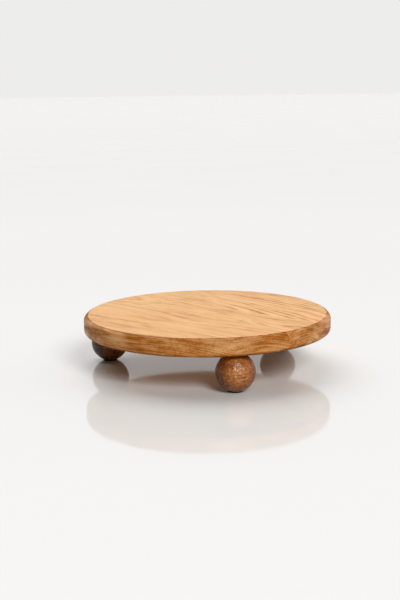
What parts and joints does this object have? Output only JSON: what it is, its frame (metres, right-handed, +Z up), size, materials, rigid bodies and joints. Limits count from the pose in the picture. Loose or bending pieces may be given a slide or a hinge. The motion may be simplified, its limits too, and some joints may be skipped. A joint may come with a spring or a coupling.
{
  "type": "display riser",
  "caption": "Round oiled-wood display riser: a thick board with a rounded rim, glued up from staves, standing on turned ball feet with thin pads.",
  "frame": {"origin": "on the floor, under the middle of the round board, in the plane of the undersides of the pads", "axes": "+Z up through the board's display face, -Y towards the front, where one foot stands a little to the right"},
  "size_m": [0.3, 0.3, 0.0669],
  "materials": {
    "board_wood": "satin golden-brown oil stain",
    "foot_wood": "satin brown oil stain",
    "dowel_beech": "raw, unfinished",
    "pad_rubber": "matt dark brown sheet rubber"
  },
  "bodies": {
    "root": {"stave_front_edge": "board_wood", "stave_front": "board_wood", "stave_middle": "board_wood", "stave_back": "board_wood", "stave_back_edge": "board_wood", "ball_foot_front": "foot_wood", "dowel_front": "dowel_beech", "rubber_pad_front": "pad_rubber", "ball_foot_back_right": "foot_wood", "dowel_back_right": "dowel_beech", "rubber_pad_back_right": "pad_rubber", "ball_foot_left": "foot_wood", "dowel_left": "dowel_beech", "rubber_pad_left": "pad_rubber"}
  },
  "joints": []
}
